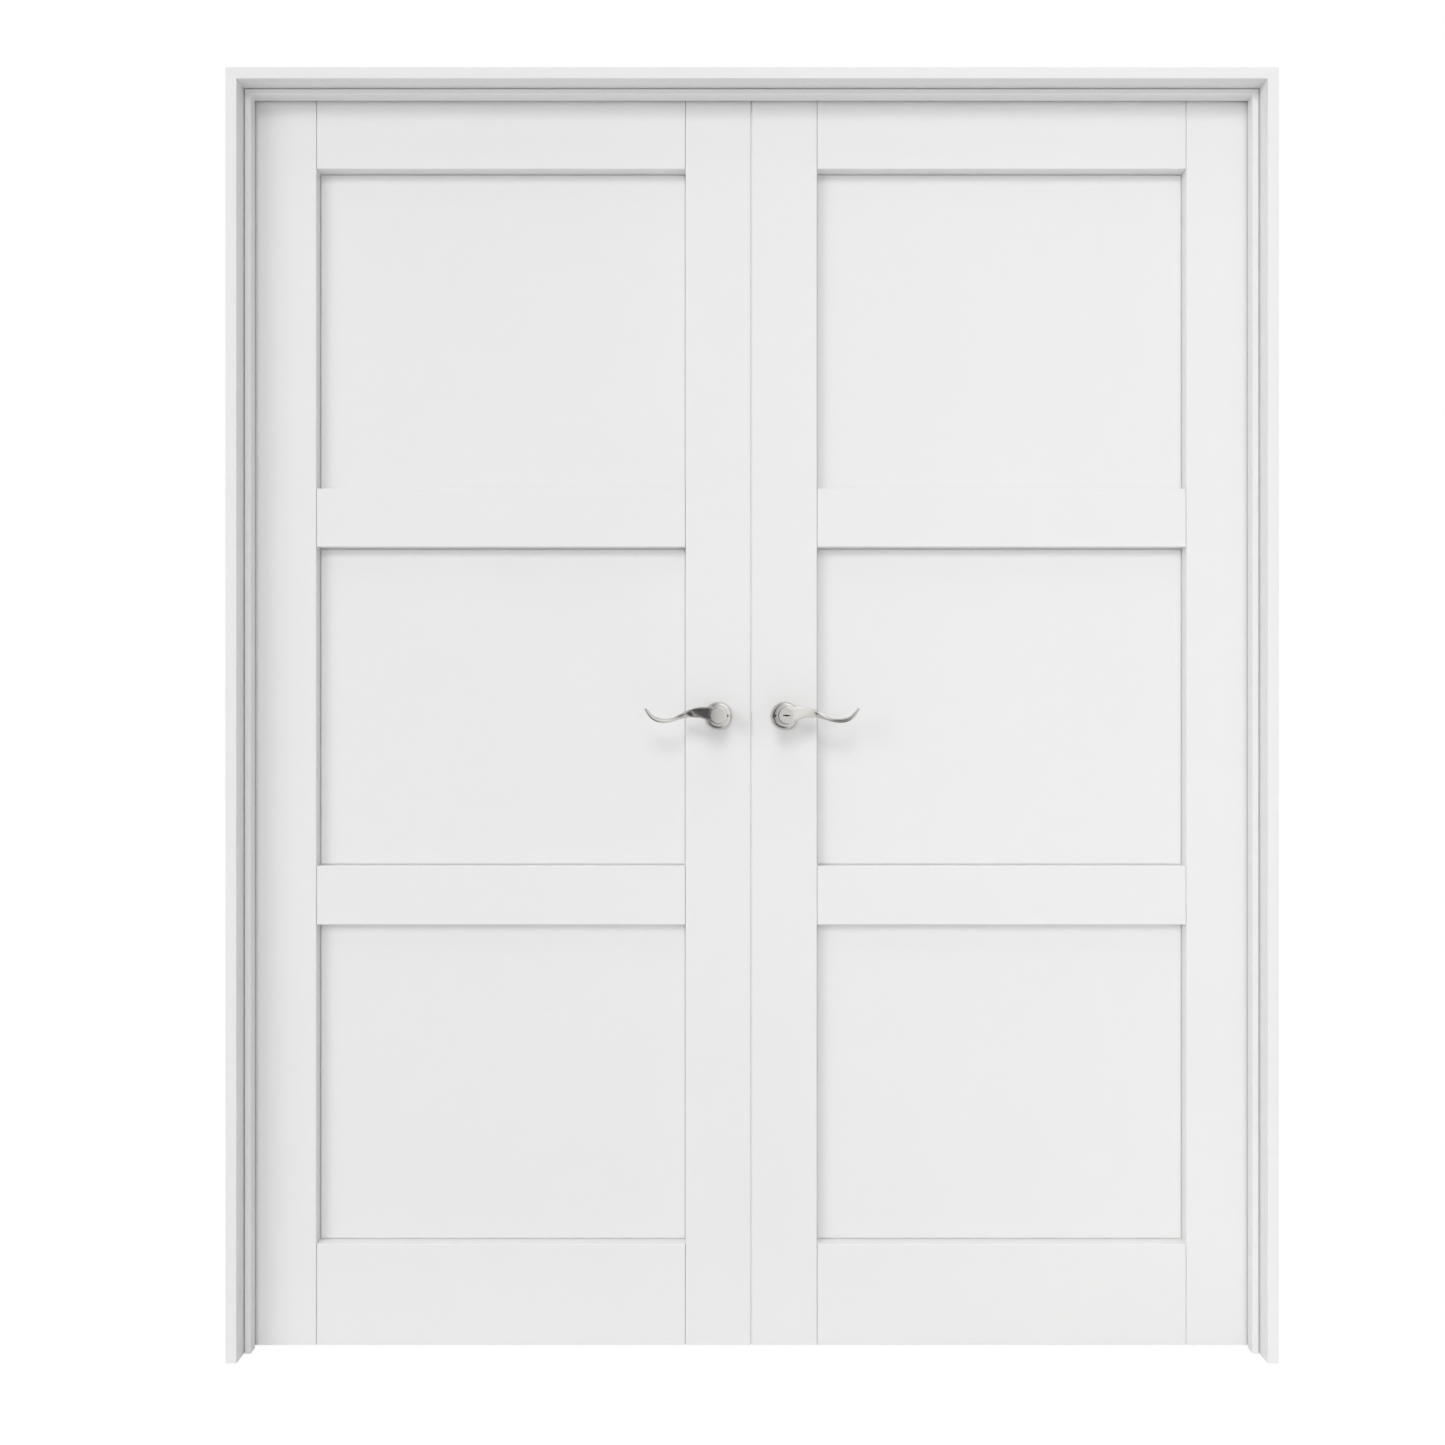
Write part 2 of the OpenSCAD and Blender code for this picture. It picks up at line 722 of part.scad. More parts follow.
module keyed_lever() {
    color(nickel) difference() {
        lever_blank();
        spindle_hole();
        translate([0, 0, lever_out - key_d]) cylinder(r = key_r + run_fit, h = key_d + over);
    }
}

module button_lever() {
    color(nickel) difference() {
        lever_blank();
        spindle_hole();
        translate([0, 0, lever_out - button_d]) cylinder(r = button_r + run_fit, h = button_d + over);
        translate([0, 0, lever_out - button_grip])
            cylinder(r1 = button_r + run_fit, r2 = dish_r, h = button_grip + over);
    }
}

module spindle() {
    length = leaf_t + 2 * spindle_in;
    color(steel) translate([lever_x, 0, lever_z]) cube([spindle_w, length, spindle_w], center = true);
}

module key_cylinder() {
    color(nickel) on_front() translate([0, 0, lever_out - key_d]) difference() {
        cylinder(r = key_r, h = key_d - key_sink);
        translate([0, 0, key_floor]) cylinder(r = plug_r + run_fit, h = key_d);
    }
}

module key_plug() {
    base = lever_out - key_d + key_floor;
    top = lever_out - key_sink;
    color(nickel) on_front() difference() {
        translate([0, 0, base + run_fit]) cylinder(r = plug_r, h = top - base - run_fit);
        translate([0, 0, top - keyway_d]) linear_extrude(keyway_d + over)
            polygon([for (share = keyway_shares) share * plug_r]);
    }
}

module turn_button() {
    base = lever_out - button_d + run_fit;
    color(nickel) on_back() {
        translate([0, 0, base]) cylinder(r = button_r, h = lever_out - button_grip - base);
        intersection() {
            translate([0, 0, base]) cylinder(r = button_r, h = lever_out - base);
            translate([-button_r, -button_grip_w / 2, base])
                cube([2 * button_r, button_grip_w, lever_out - base]);
        }
    }
}

// Latch of the right leaf
module on_plate_screws() {
    for (side = [-1, 1])
        translate([0, 0, side * plate_screw_share * latch_plate_h]) rotate([0, 90, 0]) children();
}

module right_meeting_stile() {
    color(paint) difference() {
        meeting_stile_blank();
        translate([lever_x, 0, lever_z]) rotate([90, 0, 0])
            cylinder(r = cross_bore_r, h = leaf_t + 2 * over, center = true);
        on_latch_axis() {
            translate([-over, 0, 0]) rotate([0, 90, 0])
                cylinder(r = case_r + fit, h = case_len + fit + over);
            translate([-over, 0, 0]) edge_plate(latch_plate_w + 2 * fit, latch_plate_h + 2 * fit,
                plate_corner_r + fit, latch_plate_t + over);
            on_plate_screws() wood_screw_hole(screw_len);
        }
    }
}

module latch_plate() {
    color(nickel) on_latch_axis() difference() {
        edge_plate(latch_plate_w, latch_plate_h, plate_corner_r, latch_plate_t);
        translate([-over, -latch_w / 2 - slide_fit, -latch_h / 2 - slide_fit])
            cube([latch_plate_t + 2 * over, latch_w + 2 * slide_fit, latch_h + 2 * slide_fit]);
        on_plate_screws() wood_screw_hole(screw_len);
    }
}

module latch_case() {
    color(steel) on_latch_axis() difference() {
        translate([latch_plate_t, 0, 0]) rotate([0, 90, 0])
            cylinder(r = case_r, h = case_len - latch_plate_t);
        translate([latch_plate_t - over, 0, 0]) rotate([0, 90, 0])
            cylinder(r = case_bore_r, h = case_len - latch_plate_t - case_wall + over);
        translate([backset, 0, 0]) rotate([90, 0, 0])
            cylinder(r = follower_r + swing_fit, h = 2 * case_r + 2 * over, center = true);
    }
}

// Bolt with its sloping nose towards the stops, a block that slides in the case, and a stem
module latch_bolt() {
    color(nickel) on_latch_axis() {
        translate([0, 0, -latch_h / 2]) linear_extrude(latch_h)
            polygon([[latch_body, -latch_w / 2], [latch_body, latch_w / 2], [-latch_out, latch_w / 2],
                [-latch_out, (1 / 2 - latch_nose_share) * latch_w], [0, -latch_w / 2]]);
        translate([latch_body - over, 0, 0]) rotate([0, 90, 0])
            cylinder(r = latch_stem_r, h = latch_stem + over);
    }
}

// Round hub that the spindle turns in the latch case
module latch_follower() {
    w = spindle_w + 2 * fit;
    color(steel) translate([lever_x, 0, lever_z]) difference() {
        rotate([90, 0, 0]) cylinder(r = follower_r, h = follower_w, center = true);
        cube([w, follower_w + 2 * over, w], center = true);
    }
}

// Strike and flush bolts of the left leaf, drawn on the right-hand side and mirrored
module left_meeting_stile() {
    color(paint) left() difference() {
        meeting_stile_blank();
        on_latch_axis() {
            translate([-over, 0, 0]) edge_plate(latch_plate_w + 2 * fit, latch_plate_h + 2 * fit,
                plate_corner_r + fit, latch_plate_t + over);
            strike_opening(strike_pocket_d);
            on_plate_screws() wood_screw_hole(screw_len);
        }
        on_top_bolt() flush_bolt_room();
        on_bottom_bolt() flush_bolt_room();
    }
}

module strike_opening(depth) {
    w = latch_w + 2 * latch_room;
    h = latch_h + 2 * latch_room;
    translate([-over, -w / 2, -h / 2]) cube([depth + over, w, h]);
}

module strike_plate() {
    color(nickel) left() on_latch_axis() difference() {
        edge_plate(latch_plate_w, latch_plate_h, plate_corner_r, latch_plate_t);
        strike_opening(latch_plate_t + over);
        on_plate_screws() wood_screw_hole(screw_len);
    }
}

module on_flush_screws() {
    for (side = [-1, 1])
        translate([0, 0, side * (flush_h / 2 - flush_screw_in)]) rotate([0, 90, 0]) children();
}

// Recess, pocket and rod bore in the stile, with the end of the leaf towards +Z
module flush_bolt_room() {
    pocket_w = flush_block_w + 2 * slide_fit;
    translate([-over, 0, 0]) edge_plate(flush_w + 2 * fit, flush_h + 2 * fit, flush_corner_r + fit,
        flush_t + over);
    translate([0, -pocket_w / 2, -flush_pocket_h / 2])
        cube([flush_t + flush_block_d + slide_fit, pocket_w, flush_pocket_h]);
    translate([rod_inset, 0, 0]) cylinder(r = rod_r + slide_fit, h = flush_from_end + over);
    on_flush_screws() wood_screw_hole(screw_len);
}

module flush_plate() {
    slot_w = thumb_w + 2 * slide_fit;
    slot_h = thumb_h + flush_travel + 2 * slide_fit;
    color(nickel) difference() {
        edge_plate(flush_w, flush_h, flush_corner_r, flush_t);
        translate([-over, -slot_w / 2, -slot_h / 2]) cube([flush_t + 2 * over, slot_w, slot_h]);
        on_flush_screws() wood_screw_hole(screw_len);
    }
}

// Sliding bolt drawn back into the leaf: block, thumb piece and rod
module flush_bolt() {
    rest_z = -flush_travel / 2;
    color(nickel) {
        translate([flush_t + slide_fit, -flush_block_w / 2, rest_z - flush_block_h / 2])
            cube([flush_block_d - slide_fit, flush_block_w, flush_block_h]);
        translate([0, -thumb_w / 2, rest_z - thumb_h / 2])
            cube([flush_t + flush_block_d / 2, thumb_w, thumb_h]);
        translate([rod_inset, 0, rest_z]) cylinder(r = rod_r, h = flush_from_end - rod_sink - rest_z);
    }
}

// Screws of each leaf
module left_leaf_screws() {
    color(nickel) left() {
        on_hinges() mirror([1, 0, 0]) on_hinge_screws() wood_screw(screw_len);
        on_latch_axis() on_plate_screws() wood_screw(screw_len);
        on_top_bolt() on_flush_screws() wood_screw(screw_len);
        on_bottom_bolt() on_flush_screws() wood_screw(screw_len);
    }
}

module right_leaf_screws() {
    color(nickel) {
        on_hinges() mirror([1, 0, 0]) on_hinge_screws() wood_screw(screw_len);
        on_latch_axis() on_plate_screws() wood_screw(screw_len);
    }
}

left() side_jamb();  // left_jamb
side_jamb();  // right_jamb
head_jamb();
left() side_stop();  // left_stop
side_stop();  // right_stop
head_stop();
corner_screws();
head_strike();
left() jamb_hinges();  // left_jamb_hinges
jamb_hinges();  // right_jamb_hinges
left() hinge_pins();  // left_hinge_pins
hinge_pins();  // right_hinge_pins
frame_screws();
left() hinge_stile();  // left_hinge_stile
left_meeting_stile();
left() rail(3);  // left_top_rail
left() rail(2);  // left_upper_rail
left() rail(1);  // left_lower_rail
left() rail(0);  // left_bottom_rail
left() panel(2);  // left_top_panel
left() panel(1);  // left_middle_panel
left() panel(0);  // left_bottom_panel
left() dowels();  // left_dowels
left() leaf_hinges();  // left_leaf_hinges
left_leaf_screws();
left() on_front() front_rose();  // left_front_rose
left() on_back() back_rose();  // left_back_rose
left() on_front() fixed_lever();  // left_front_lever
left() on_back() fixed_lever();  // left_back_lever
left() rose_bolts();  // left_rose_bolts
strike_plate();
left() on_top_bolt() flush_plate();  // top_bolt_plate
left() on_bottom_bolt() flush_plate();  // bottom_bolt_plate
left() on_top_bolt() flush_bolt();  // top_bolt
left() on_bottom_bolt() flush_bolt();  // bottom_bolt
hinge_stile();  // right_hinge_stile
right_meeting_stile();
rail(3);  // right_top_rail
rail(2);  // right_upper_rail
rail(1);  // right_lower_rail
rail(0);  // right_bottom_rail
panel(2);  // right_top_panel
panel(1);  // right_middle_panel
panel(0);  // right_bottom_panel
dowels();  // right_dowels
leaf_hinges();  // right_leaf_hinges
right_leaf_screws();
on_front() front_rose();  // right_front_rose
on_back() back_rose();  // right_back_rose
on_front() keyed_lever();  // right_front_lever
on_back() button_lever();  // right_back_lever
rose_bolts();  // right_rose_bolts
spindle();
key_cylinder();
key_plug();
turn_button();
latch_case();
latch_plate();
latch_bolt();
latch_follower();
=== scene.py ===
# %% [markdown]
# # Dressing a pair of panelled doors
# This lesson takes the finished construction of a pair of white panelled doors in their frame and gives
# every surface its finish: satin lacquer on the woodwork, brushed and spun nickel on the fittings, zinc on
# the hidden steel. The construction comes in as a fixed set of pieces, already in place and in metres, so
# nothing here moves or resizes it. Where a piece needs a finer mesh than the construction has, a new piece
# stands for it.

# %% Load the construction
import json
import math

import bmesh
import bpy
from mathutils import Matrix, Vector


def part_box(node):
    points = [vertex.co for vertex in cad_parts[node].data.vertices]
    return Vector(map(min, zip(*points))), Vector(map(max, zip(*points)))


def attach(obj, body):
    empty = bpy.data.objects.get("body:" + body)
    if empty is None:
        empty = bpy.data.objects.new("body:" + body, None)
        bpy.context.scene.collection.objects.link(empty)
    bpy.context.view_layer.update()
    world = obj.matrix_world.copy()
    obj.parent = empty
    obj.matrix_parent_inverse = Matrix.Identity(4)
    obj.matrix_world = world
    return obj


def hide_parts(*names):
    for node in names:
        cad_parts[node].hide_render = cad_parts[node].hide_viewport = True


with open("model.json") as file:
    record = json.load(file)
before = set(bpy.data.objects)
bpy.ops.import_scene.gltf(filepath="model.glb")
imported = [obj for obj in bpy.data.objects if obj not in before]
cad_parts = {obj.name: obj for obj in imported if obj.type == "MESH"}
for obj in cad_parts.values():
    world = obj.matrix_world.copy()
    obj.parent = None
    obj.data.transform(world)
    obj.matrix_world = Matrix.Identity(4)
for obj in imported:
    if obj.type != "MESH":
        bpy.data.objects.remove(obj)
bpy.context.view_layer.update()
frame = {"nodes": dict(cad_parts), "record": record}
NODES = frame["nodes"]
RECORD = frame["record"]
BODY_OF = {node: body for body, members in RECORD["behaviour"]["bodies"].items() for node in members}
SLOT_OF = {part["node"]: part["material_slot"] for part in RECORD["subparts"]}

# %% [markdown]
# ## Writing shader sums as sums
# A finish is a small network of nodes. Adding each node by hand hides the idea behind the wiring, so one
# class wraps a socket: adding, taking away or multiplying wires adds the Math nodes, and every other node
# comes from a single method that takes its type, its settings and what goes into its sockets.

# %% A wire between shader nodes


class Wire:
    """An output socket that can be used in sums."""

    def __init__(self, socket):
        self.socket = socket

    def node(self, kind, settings=None, inputs=None, output=0):
        """Adds a node beside this wire, sets it up, and gives back one of its outputs."""
        tree = self.socket.id_data
        made = tree.nodes.new("ShaderNode" + kind)
        for name, value in (settings or {}).items():
            setattr(made, name, value)
        for key, value in (inputs or {}).items():
            if isinstance(value, Wire):
                tree.links.new(value.socket, made.inputs[key])
            else:
                made.inputs[key].default_value = value
        return Wire(made.outputs[output])

    def math(self, operation, first, second):
        return self.node("Math", {"operation": operation}, {0: first, 1: second})

    def __add__(self, other):
        return self.math("ADD", self, other)

    def __sub__(self, other):
        return self.math("SUBTRACT", self, other)

    def __rsub__(self, other):
        return self.math("SUBTRACT", other, self)

    def __mul__(self, other):
        return self.math("MULTIPLY", self, other)

    __radd__ = __add__
    __rmul__ = __mul__


print("wires add, subtract and multiply")

# %% [markdown]
# ## Patterns that finishes share
# A noise pattern lives in the piece's own space, so it stays put when the doors swing. Stretching the space
# before the noise reads it turns round blotches into streaks, which is all that grain and brushing are.

# %% Starting a finish, and its patterns


def socket_name(word):
    """The name of a shader's socket as Blender writes it, from a Python word."""
    return word.replace("_", " ").title().replace("Ior", "IOR")


def start_finish(name, **settings):
    """A new material with its shader's plain values set: gives it, its shader and the place on the piece."""
    material = bpy.data.materials.new(name)
    material.use_nodes = True
    tree = material.node_tree
    shader = tree.nodes["Principled BSDF"]
    for word, value in settings.items():
        shader.inputs[socket_name(word)].default_value = value
    return material, shader, Wire(tree.nodes.new("ShaderNodeTexCoord").outputs["Object"])


def feed(shader, **wires):
    for word, wire in wires.items():
        shader.id_data.links.new(wire.socket, shader.inputs[socket_name(word)])


def stretched(place, per_metre):
    """The place multiplied axis by axis, so that a noise of scale 1 has that many blots to the metre."""
    return place.node("VectorMath", {"operation": "MULTIPLY"}, {0: place, 1: per_metre})


def noise(place, scale, detail=2.0):
    return place.node("TexNoise", {}, {"Vector": place, "Scale": scale, "Detail": detail})


def tone(amount, dark, light):
    """A colour between two, mixed as a colour. Each end is a colour or a wire."""
    first, second = (end if isinstance(end, Wire) else (*end, 1) for end in (dark, light))
    return amount.node("Mix", {"data_type": "RGBA"}, {0: amount, 6: first, 7: second}, output=2)


def bumped(height, strength, distance):
    return height.node("Bump", {}, {"Strength": strength, "Distance": distance, "Height": height})


print("patterns ready")

# %% [markdown]
# ## Satin white lacquer
# The doors and the frame are wood under a sprayed satin lacquer. Seen close, such a coat has a fine skin
# like orange peel, the fibres under it telegraph faintly along the length of each board, and the sheen
# drifts a little where the coat is thicker. All three are far below a millimetre, so they are bump and
# roughness, and the colour drifts by only a few parts in a hundred. Boards are sprayed before they are
# joined, so the grain runs along each board: one finish for upright boards and one for those that lie
# across.

# %% White lacquer
LACQUER_COOL = (0.800, 0.802, 0.803)
LACQUER_WARM = (0.822, 0.821, 0.816)
LACQUER_SHINE = 0.3
LACQUER_ROUGH = 0.36
CLOUD_ROUGH = 0.1
FIBRE_ROUGH = 0.06
PEEL_PER_METRE = 620.0
CLOUD_PER_METRE = 3.0
FIBRE_ALONG = 7.0
FIBRE_ACROSS = 420.0
PEEL_SHARE = 0.65
SKIN_STRENGTH = 0.12
SKIN_HEIGHT = 0.0004


def white_lacquer(name, fibre_per_metre):
    material, shader, place = start_finish(name, specular_ior_level=LACQUER_SHINE)
    peel = noise(place, PEEL_PER_METRE)
    fibre = noise(stretched(place, fibre_per_metre), 1.0, detail=3.0)
    cloud = noise(place, CLOUD_PER_METRE, detail=3.0)
    skin = PEEL_SHARE * peel + (1 - PEEL_SHARE) * fibre
    feed(
        shader,
        base_color=tone(cloud, LACQUER_COOL, LACQUER_WARM),
        roughness=LACQUER_ROUGH + CLOUD_ROUGH * cloud + FIBRE_ROUGH * fibre,
        normal=bumped(skin, SKIN_STRENGTH, SKIN_HEIGHT),
    )
    return material


LACQUER_UPRIGHT = white_lacquer("white_lacquer_upright", (FIBRE_ACROSS, FIBRE_ACROSS, FIBRE_ALONG))
LACQUER_ACROSS = white_lacquer("white_lacquer_across", (FIBRE_ALONG, FIBRE_ACROSS, FIBRE_ACROSS))
print("two lacquers, one for each way of the grain")

# %% [markdown]
# ## Satin nickel
# The levers, roses, hinges and plates are nickel plate over a brushed surface. Brushing leaves hair-fine
# scratches: straight ones along a lever or a plate, and rings on a rose, which is spun on a lathe. The
# scratches blur reflections, so they go into the roughness and the bump, and hardly into the colour. Inside a
# deep narrow hollow, such as a keyway, the colour is painted near black as painted shade, and the roughness
# is raised, so the finish can be told where its hollow is.

# %% Nickel and its scratches
NICKEL_DEEP = (0.560, 0.545, 0.520)
NICKEL_BRIGHT = (0.660, 0.645, 0.620)
NICKEL_ROUGH = 0.24
LINES_SHARE = 0.5
LINES_ROUGH = 0.08
DRIFT_ROUGH = 0.05
DRIFT_PER_METRE = 40.0
# Near black painted inside a hollow: painted shade.
HOLLOW_PAINTED_SHADE = (0.012, 0.012, 0.011)
HOLLOW_ROUGH = 0.4
SCRATCH_ALONG = 45.0
SCRATCH_ACROSS = 4200.0
SCRATCH_STRENGTH = 0.04
SCRATCH_HEIGHT = 0.0001
RINGS_PER_METRE = 6000.0


def nickel(name, scratch, hollow=None):
    """Nickel whose scratches, and whose hollow if it has one, are functions of the place on the piece."""
    material, shader, place = start_finish(name, metallic=1.0)
    lines = scratch(place)
    drift = noise(place, DRIFT_PER_METRE)
    colour = tone(LINES_SHARE * lines + (1 - LINES_SHARE) * drift, NICKEL_DEEP, NICKEL_BRIGHT)
    roughness = NICKEL_ROUGH + LINES_ROUGH * lines + DRIFT_ROUGH * drift
    if hollow:
        # Painted shade: inside the hollow the colour goes near black and the roughness rises.
        painted_shade = hollow(place)
        colour = tone(painted_shade, colour, HOLLOW_PAINTED_SHADE)
        roughness = roughness + HOLLOW_ROUGH * painted_shade
    normal = bumped(lines, SCRATCH_STRENGTH, SCRATCH_HEIGHT)
    feed(shader, base_color=colour, roughness=roughness, normal=normal)
    return material


def straight_scratches(per_metre):
    return lambda place: noise(stretched(place, per_metre), 1.0)


def from_axis(place, centre):
    """The distance from an axis along Y through the centre."""
    off = place.node("VectorMath", {"operation": "SUBTRACT"}, {0: place, 1: centre})
    flat = off.node("VectorMath", {"operation": "MULTIPLY"}, {0: off, 1: (1, 0, 1)})
    return flat.node("VectorMath", {"operation": "LENGTH"}, {0: flat}, output=1)


def ring_scratches(centre):
    def rings(place):
        radius = from_axis(place, centre)
        return radius.node("TexNoise", {"noise_dimensions": "1D"}, {"W": radius, "Scale": RINGS_PER_METRE})

    return rings


print("nickel can be brushed straight or in rings")

# %% [markdown]
# ## Nickel on each fitting
# Each front rose has a small round hole beside the hub, on the side of the meeting edge, for the pin that
# releases the lever. The key plug has its keyway. Inside both, the colour is painted near black as painted
# shade: the hole is found by its distance from its own axis, and the keyway by its depth below the plug's
# face, because nothing else of the plug shows there.

# %% Nickel for each kind of fitting
RELEASE_OFF = 0.0152
RELEASE_RADIUS = 0.00168
KEYWAY_LIP = 0.0005


def middle(node):
    low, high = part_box(node)
    return (low + high) / 2


def release_hole(rose):
    """1 inside the hole beside a front rose's hub. A back rose has none."""
    if "_front_" not in rose:
        return None
    towards_meeting = RELEASE_OFF if rose.startswith("left") else -RELEASE_OFF
    centre = middle(rose) + Vector((towards_meeting, 0, 0))
    # Inside the hole the nickel is painted near black: painted shade.
    return lambda place: place.math("LESS_THAN", from_axis(place, centre), RELEASE_RADIUS)


def below_face(node):
    """1 for all of a piece that lies deeper than a thin lip behind its front face."""
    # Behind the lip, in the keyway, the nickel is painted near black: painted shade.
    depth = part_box(node)[0].y + KEYWAY_LIP

    def mask(place):
        along_y = place.node("SeparateXYZ", {}, {0: place}, output=1)
        return along_y.math("GREATER_THAN", along_y, depth)

    return mask


NICKEL_LEVER = nickel("nickel_lever", straight_scratches((SCRATCH_ALONG, SCRATCH_ACROSS, SCRATCH_ACROSS)))
NICKEL_PLATE = nickel("nickel_plate", straight_scratches((SCRATCH_ACROSS, SCRATCH_ACROSS, SCRATCH_ALONG)))
NICKEL_SPUN = {
    rose: nickel(f"nickel_{rose}", ring_scratches(middle(rose)), release_hole(rose))
    for rose in sorted(NODES) if rose.endswith("_rose")
}
NICKEL_KEY = nickel("nickel_key", ring_scratches(middle("key_plug")), below_face("key_plug"))
print("nickel for levers, plates, the key plug and", list(NICKEL_SPUN))

# %% [markdown]
# ## Zinc and beech
# The spindle, the latch case and the bolts that clamp the roses are zinc plated steel, with the faint
# spangle of the plating. The dowels inside the joints are bare beech. They hardly show, but the doors can be
# taken apart, so they have a finish too.

# %% Zinc plate and bare beech
ZINC_DEEP = (0.42, 0.43, 0.45)
ZINC_BRIGHT = (0.58, 0.59, 0.61)
ZINC_ROUGH = 0.34
PITS_ROUGH = 0.12
PITS_PER_METRE = 300.0
PITS_STRENGTH = 0.06
PITS_HEIGHT = 0.0002
SPANGLES_PER_METRE = 420.0
BEECH_DEEP = (0.47, 0.29, 0.15)
BEECH_LIGHT = (0.66, 0.47, 0.29)
BEECH_ROUGH = 0.6
BEECH_PER_METRE = (18.0, 700.0, 700.0)
BEECH_STRENGTH = 0.15
BEECH_HEIGHT = 0.0003


def zinc_plate():
    material, shader, place = start_finish("zinc_plate", metallic=1.0)
    spangle = place.node("TexVoronoi", {}, {"Vector": place, "Scale": SPANGLES_PER_METRE})
    pits = noise(place, PITS_PER_METRE)
    feed(
        shader,
        base_color=tone(spangle, ZINC_DEEP, ZINC_BRIGHT),
        roughness=ZINC_ROUGH + PITS_ROUGH * pits,
        normal=bumped(pits, PITS_STRENGTH, PITS_HEIGHT),
    )
    return material


def bare_beech():
    material, shader, place = start_finish("bare_beech", roughness=BEECH_ROUGH)
    grain = noise(stretched(place, BEECH_PER_METRE), 1.0, detail=4.0)
    normal = bumped(grain, BEECH_STRENGTH, BEECH_HEIGHT)
    feed(shader, base_color=tone(grain, BEECH_DEEP, BEECH_LIGHT), normal=normal)
    return material


ZINC = zinc_plate()
BEECH = bare_beech()
print("zinc and beech")

# %% [markdown]
# ## Giving each piece its finish
# The record says which material each piece is made of. Within one material the finish follows the way that
# the piece lies: a board that is taller than wide gets the upright grain, and a rose gets rings. The panels
# are cut with their grain upright, whatever their shape.

# %% Finish by piece


def finish_for(node):
    slot = SLOT_OF[node]
    low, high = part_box(node)
    if slot == "white_paint":
        taller_than_wide = high.z - low.z > high.x - low.x
        return LACQUER_UPRIGHT if taller_than_wide or "panel" in node else LACQUER_ACROSS
    if slot == "satin_nickel":
        if node in NICKEL_SPUN:
            return NICKEL_SPUN[node]
        if node == "key_plug":
            return NICKEL_KEY
        return NICKEL_LEVER if node.endswith("_lever") else NICKEL_PLATE
    return BEECH if slot == "beech" else ZINC


for node, piece in NODES.items():
    piece.data.materials.clear()
    piece.data.materials.append(finish_for(node))
print(f"{len(NODES)} pieces have their finish")

# %% [markdown]
# ## Round metal without facets
# The construction's curved metal comes as flat facets, which is enough to cut and to weigh it but would break
# a reflection into steps. A copy with its loose corners merged can be shaded smooth, with real edges, such
# as the rim of a rose, kept sharp by their angle. A flat face beside a small bevel would then look pillowed,
# so a Weighted Normal modifier lets the large faces say which way the surface looks. The copy has the same
# shape and place, and stands for the original.

# %% Smooth copies of the round fittings
CREASE = math.radians(34)
MERGE = 1e-6
ROUND = ("_lever", "_rose", "_hinges", "_hinge_pins", "key_cylinder", "key_plug", "turn_button")


def place_in_scene(name, data):
    """A new object for this data, in the scene."""
    piece = bpy.data.objects.new(name, data)
    bpy.context.scene.collection.objects.link(piece)
    return piece


def stand_in(node, mesh, suffix):
    """A piece that stands for a node: same place, body and finish, with a better mesh."""
    piece = place_in_scene(f"{node}_{suffix}", mesh)
    mesh.materials.clear()
    mesh.materials.append(finish_for(node))
    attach(piece, BODY_OF[node])
    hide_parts(node)
    return piece


def merged_copy(node):
    """The node's mesh as a bmesh with its loose triangles joined up."""
    shape = bmesh.new()
    shape.from_mesh(NODES[node].data)
    bmesh.ops.remove_doubles(shape, verts=shape.verts, dist=MERGE)
    return shape


def plain_mesh(name, shape):
    """The mesh of a bmesh that is finished with."""
    mesh = bpy.data.meshes.new(name)
    shape.to_mesh(mesh)
    shape.free()
    return mesh


def made_mesh(name, shape):
    """A piece's mesh, smooth with sharp edges by angle and no normals kept from before."""
    mesh = plain_mesh(name, shape)
    if "custom_normal" in mesh.attributes:
        mesh.attributes.remove(mesh.attributes["custom_normal"])
    mesh.shade_smooth()
    mesh.set_sharp_from_angle(angle=CREASE)
    return mesh


for node in sorted(NODES):
    if node.endswith(ROUND):
        piece = stand_in(node, made_mesh(node, merged_copy(node)), "smooth")
        if not node.endswith("_lever"):
            piece.modifiers.new("flat_faces_lead", "WEIGHTED_NORMAL").keep_sharp = True
        print("smooth:", node)

# %% [markdown]
# ## Where the screws are
# The construction's screws are plain cones and rods. A real one has a cross recess for the driver, and the
# heads show on every hinge when a leaf stands open, and on the roses from behind. Where each screw goes is
# read from the construction: every separate solid in a screw node is one screw, and its wide end is the
# head.

# %% Seats of the screws


def solids_of(node):
    """The corners of each separate solid in a node."""
    shape = merged_copy(node)
    met, found = set(), []
    for start in shape.verts:
        if start in met:
            continue
        met.add(start)
        group = [start]
        for corner in group:  # the group grows while it is walked
            beside = [edge.other_vert(corner) for edge in corner.link_edges]
            fresh = [other for other in beside if other not in met]
            met.update(fresh)
            group += fresh
        found.append([corner.co.copy() for corner in group])
    shape.free()
    return found


def screw_seat(corners):
    """The middle of a screw's head, the way that the screw points, its length and its head's radius."""
    low = Vector([min(c[i] for c in corners) for i in range(3)])
    high = Vector([max(c[i] for c in corners) for i in range(3)])
    size = high - low
    axis = max(range(3), key=lambda i: size[i])
    centre = (low + high) / 2

    def spread(corner):
        off = corner - centre
        off[axis] = 0
        return off.length

    widest = max(corners, key=spread)
    head_is_low = widest[axis] - low[axis] < high[axis] - widest[axis]
    head = centre.copy()
    head[axis] = low[axis] if head_is_low else high[axis]
    way = Vector((0, 0, 0))
    way[axis] = 1 if head_is_low else -1
    return head, way, size[axis], spread(widest)


SCREW_NODES = [node for node in sorted(NODES) if node.endswith(("_screws", "_rose_bolts"))]
SEATS = {node: [screw_seat(corners) for corners in solids_of(node)] for node in SCREW_NODES}
print({node: len(seats) for node, seats in SEATS.items()})

